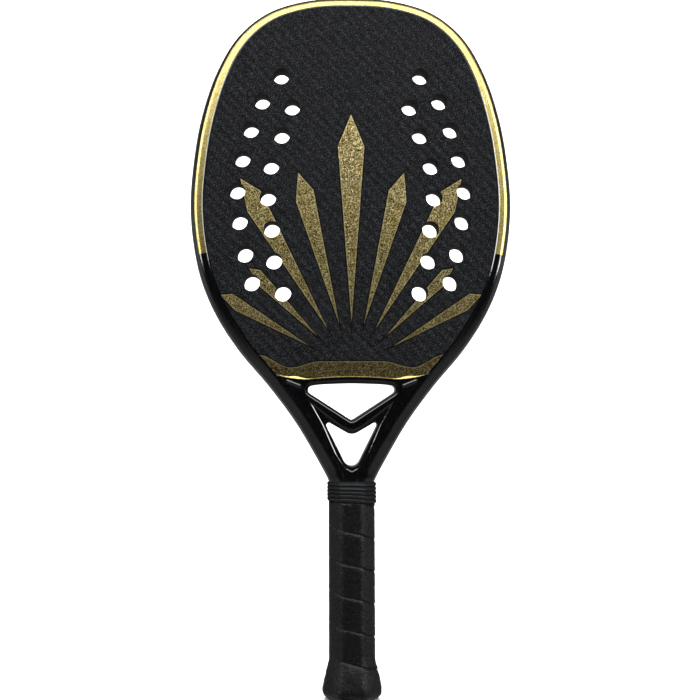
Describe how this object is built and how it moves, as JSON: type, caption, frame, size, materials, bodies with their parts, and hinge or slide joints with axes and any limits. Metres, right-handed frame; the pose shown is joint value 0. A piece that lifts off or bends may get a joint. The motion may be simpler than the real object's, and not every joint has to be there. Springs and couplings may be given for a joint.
{
  "type": "beach tennis racket",
  "caption": "Beach tennis racket: perforated foam-core faces in a tubular composite frame, a windowed throat with a V brace, and a tape-wound flared handle.",
  "frame": {"origin": "centre of the bounding box on the flat end of the butt", "axes": "+Z from the butt to the tip of the head, X across the head, +Y out of the back face, so the front face looks along -Y"},
  "size_m": [0.2296, 0.0378, 0.5],
  "materials": {
    "frame_composite": "clear-coated black composite with a gold flake edge strip",
    "core_foam": "dark closed-cell foam, seen in the drilled holes",
    "face_laminate": "gritty black laminate with a gold flake figure",
    "throat_composite": "clear-coated black composite",
    "shaft_foam": "rigid expanding foam",
    "pallet_pu": "moulded polyurethane",
    "cap_plastic": "moulded, fine satin texture",
    "grip_tape": "black synthetic leather, slightly tacky",
    "finishing_tape": "vinyl tape",
    "collar_rubber": "moulded rubber with rounded ribs"
  },
  "bodies": {
    "root": {"head_frame": "frame_composite", "eva_core": "core_foam", "front_face": "face_laminate", "back_face": "face_laminate", "throat_yoke": "throat_composite", "v_brace": "throat_composite", "neck_wedge": "throat_composite", "left_shaft_foam": "shaft_foam", "right_shaft_foam": "shaft_foam", "front_pallet": "pallet_pu", "back_pallet": "pallet_pu", "butt_cap": "cap_plastic", "grip_tape": "grip_tape", "finishing_tape": "finishing_tape", "grip_collar": "collar_rubber"}
  },
  "joints": []
}
